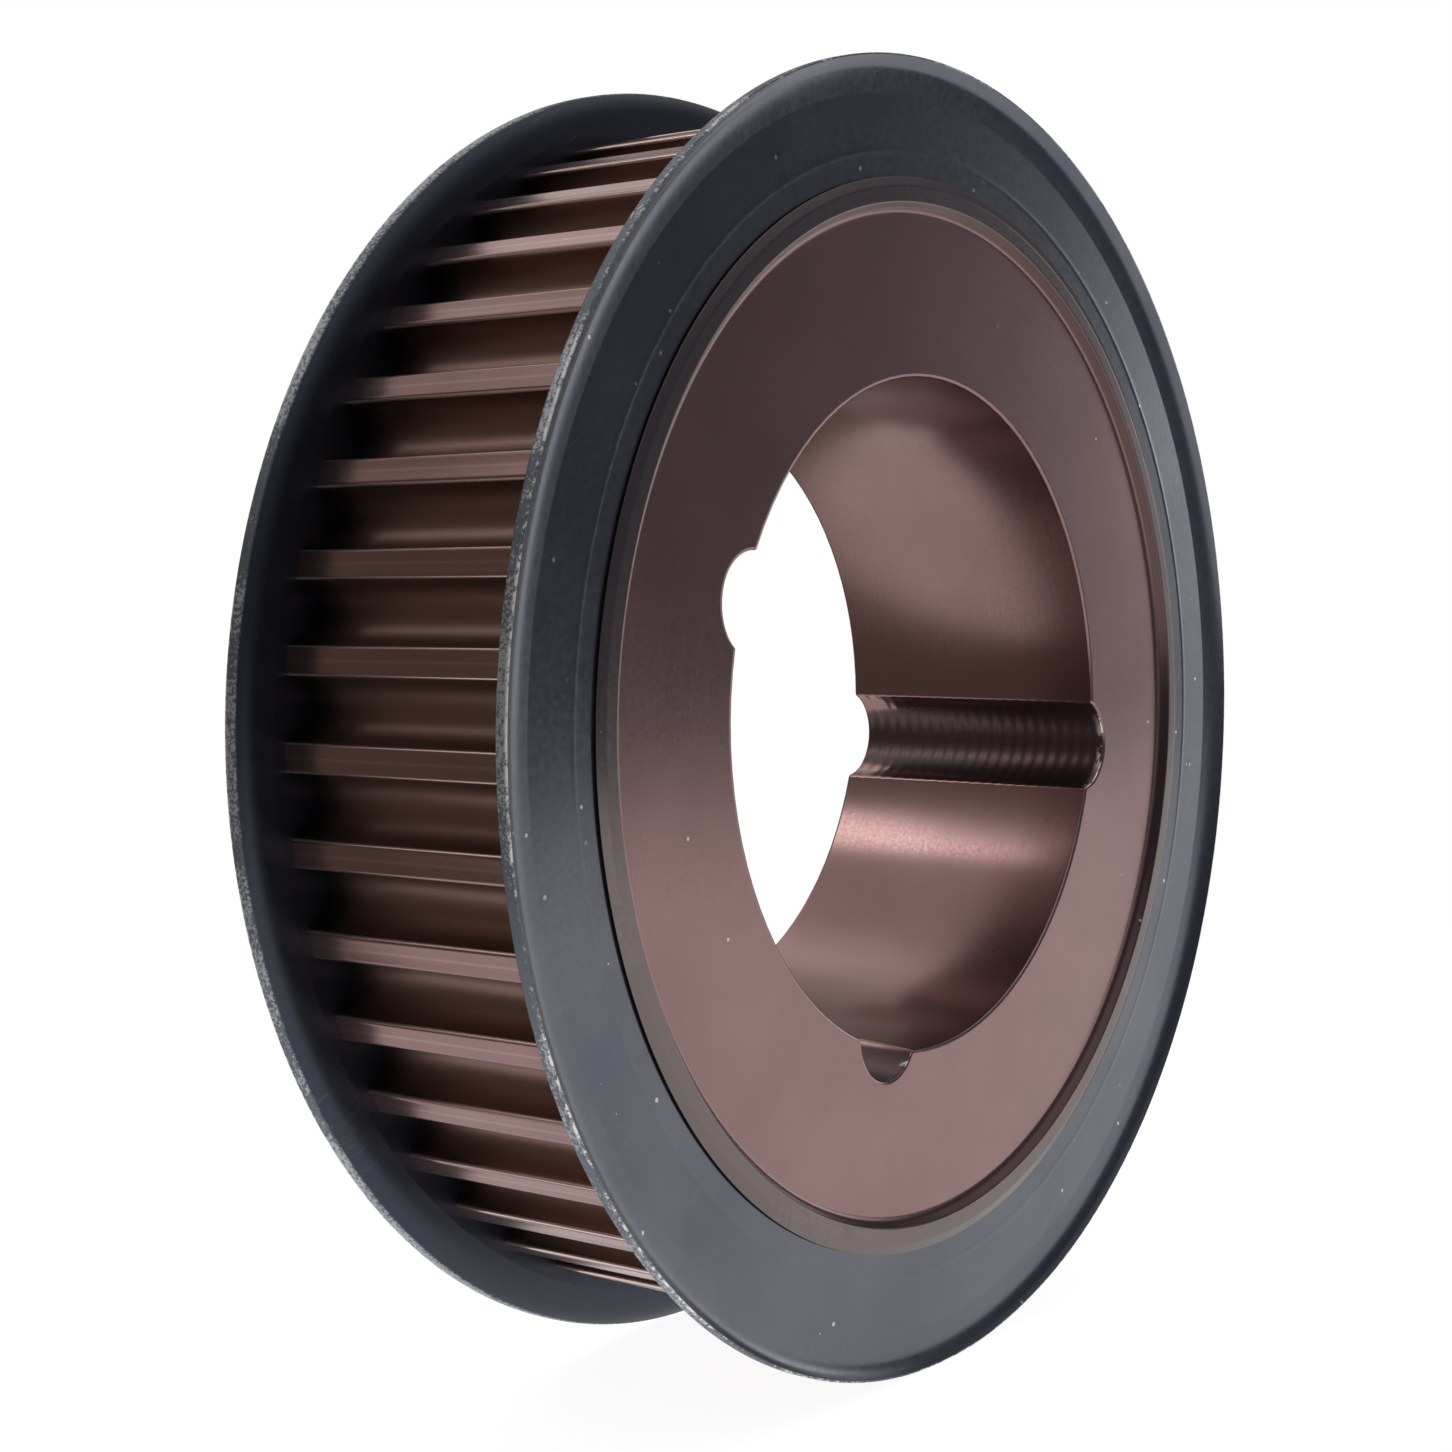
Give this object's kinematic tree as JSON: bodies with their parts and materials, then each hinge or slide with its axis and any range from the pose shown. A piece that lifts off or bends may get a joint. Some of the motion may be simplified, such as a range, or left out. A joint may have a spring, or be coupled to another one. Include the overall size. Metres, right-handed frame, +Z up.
{
  "type": "timing belt pulley",
  "caption": "Flanged toothed pulley for a timing belt, with round-bottomed grooves and a tapered bore for a clamping bush.",
  "frame": {"origin": "centre of the pulley: on the spin axis, midway between the two flange rims", "axes": "+Y is the spin axis and points out of the rear; the front, with the large end of the tapered bore, faces -Y; +Z is up as the pulley stands on its rims"},
  "size_m": [0.209, 0.053, 0.209],
  "materials": {
    "phosphated_steel": "turned, then phosphated dark brown with a satin sheen",
    "blued_sheet": "pressed steel sheet, blue-black oxide, worn bright at the rim's edge"
  },
  "bodies": {
    "root": {"pulley_body": "phosphated_steel", "front_flange": "blued_sheet", "rear_flange": "blued_sheet"}
  },
  "joints": []
}
